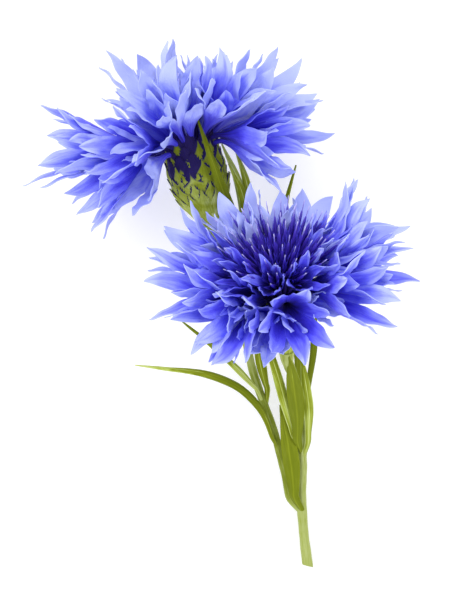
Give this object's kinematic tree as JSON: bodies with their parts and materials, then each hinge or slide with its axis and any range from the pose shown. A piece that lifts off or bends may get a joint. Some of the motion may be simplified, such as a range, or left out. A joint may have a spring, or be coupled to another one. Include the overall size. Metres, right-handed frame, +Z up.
{
  "type": "cornflower sprig",
  "caption": "Cut cornflower sprig lying on a surface: a forked stem with narrow leaves and two blue flower heads of flared, lobed ray florets over a scaly green involucre.",
  "frame": {"origin": "middle of the sprig's bounding box, on the surface that it lies on", "axes": "+Z up from the surface; +Y along the sprig from the cut end of the stem towards the flower heads; +X to the right when the sprig is looked at from above with the heads away from the viewer"},
  "size_m": [0.0694, 0.0944, 0.0531],
  "materials": {
    "petal": "soft matte petal, periwinkle blue, deeper at the throat and paler at the tips",
    "disc": "matte, dark violet",
    "bract": "dry matte olive scales with dark margins",
    "receptacle": "matte plant tissue",
    "stem": "matte light green, ribbed",
    "leaf": "satin olive green"
  },
  "bodies": {
    "root": {"back_bud_leaf": "leaf", "back_leaf": "leaf", "branch_leaf": "leaf", "collar_leaf_long": "leaf", "collar_leaf_right": "leaf", "fork_leaf": "leaf", "front_bract_row_1": "bract", "front_bract_row_2": "bract", "front_bract_row_3": "bract", "front_disc_florets": "disc", "front_inner_floret_1": "petal", "front_inner_floret_2": "petal", "front_inner_floret_3": "petal", "front_inner_floret_4": "petal", "front_inner_floret_5": "petal", "front_inner_floret_6": "petal", "front_inner_floret_7": "petal", "front_inner_floret_8": "petal", "front_inner_floret_9": "petal", "front_outer_floret_1": "petal", "front_outer_floret_2": "petal", "front_outer_floret_3": "petal", "front_outer_floret_4": "petal", "front_outer_floret_5": "petal", "front_outer_floret_6": "petal", "front_outer_floret_7": "petal", "front_outer_floret_8": "petal", "front_outer_floret_9": "petal", "front_receptacle": "receptacle", "long_leaf": "leaf", "main_stem": "stem", "rear_bract_row_1": "bract", "rear_bract_row_2": "bract", "rear_bract_row_3": "bract", "rear_disc_florets": "disc", "rear_inner_floret_1": "petal", "rear_inner_floret_2": "petal", "rear_inner_floret_3": "petal", "rear_inner_floret_4": "petal", "rear_inner_floret_5": "petal", "rear_inner_floret_6": "petal", "rear_outer_floret_1": "petal", "rear_outer_floret_10": "petal", "rear_outer_floret_11": "petal", "rear_outer_floret_12": "petal", "rear_outer_floret_2": "petal", "rear_outer_floret_3": "petal", "rear_outer_floret_4": "petal", "rear_outer_floret_5": "petal", "rear_outer_floret_6": "petal", "rear_outer_floret_7": "petal", "rear_outer_floret_8": "petal", "rear_outer_floret_9": "petal", "rear_receptacle": "receptacle", "side_stem": "stem", "side_stem_leaf": "leaf", "stalk_front_leaf": "leaf", "stalk_left_leaf": "leaf", "stalk_right_leaf": "leaf"}
  },
  "joints": []
}
